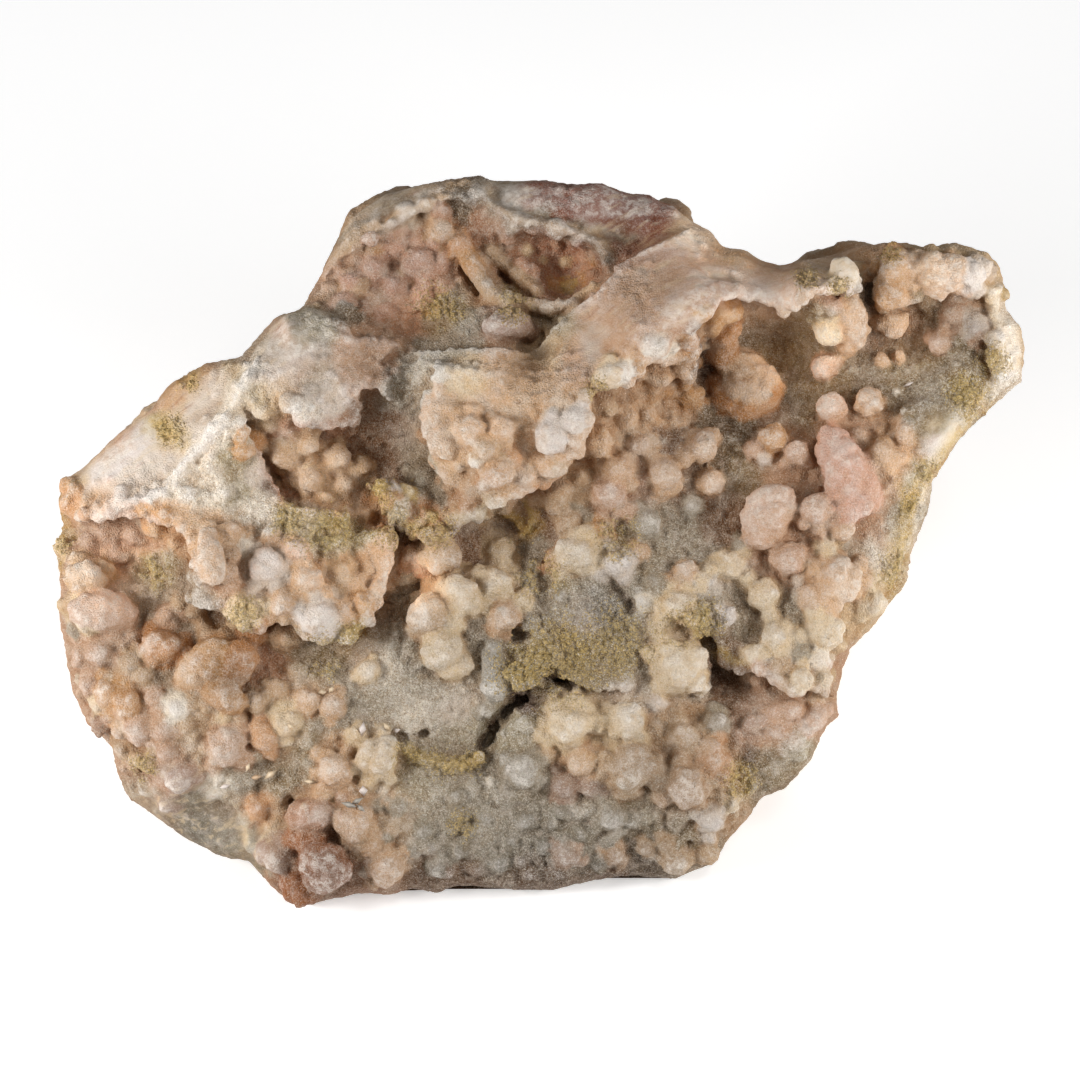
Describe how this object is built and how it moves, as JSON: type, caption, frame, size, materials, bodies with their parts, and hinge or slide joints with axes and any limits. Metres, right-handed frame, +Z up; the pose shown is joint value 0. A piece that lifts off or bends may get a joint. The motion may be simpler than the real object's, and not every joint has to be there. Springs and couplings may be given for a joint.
{
  "type": "sulfur specimen",
  "caption": "Loose mineral specimen: banded matrix whose sloping face carries a lumpy, drusy tan crust with ledges, hollows and sulfur-dusted edges; flat broken underside.",
  "frame": {"origin": "on the flat underside, under the middle of the specimen", "axes": "+X to the viewer's right along the long side, +Z up from the surface it rests on, -Y the low front edge of the sloping crusted face"},
  "size_m": [0.1492, 0.0961, 0.0741],
  "materials": {
    "crusted_stone": "rough pinkish-tan and cream mineral crust with grey and yellow-green sparkling druse, over grey-brown banded matrix"
  },
  "bodies": {
    "root": {"specimen": "crusted_stone"}
  },
  "joints": []
}
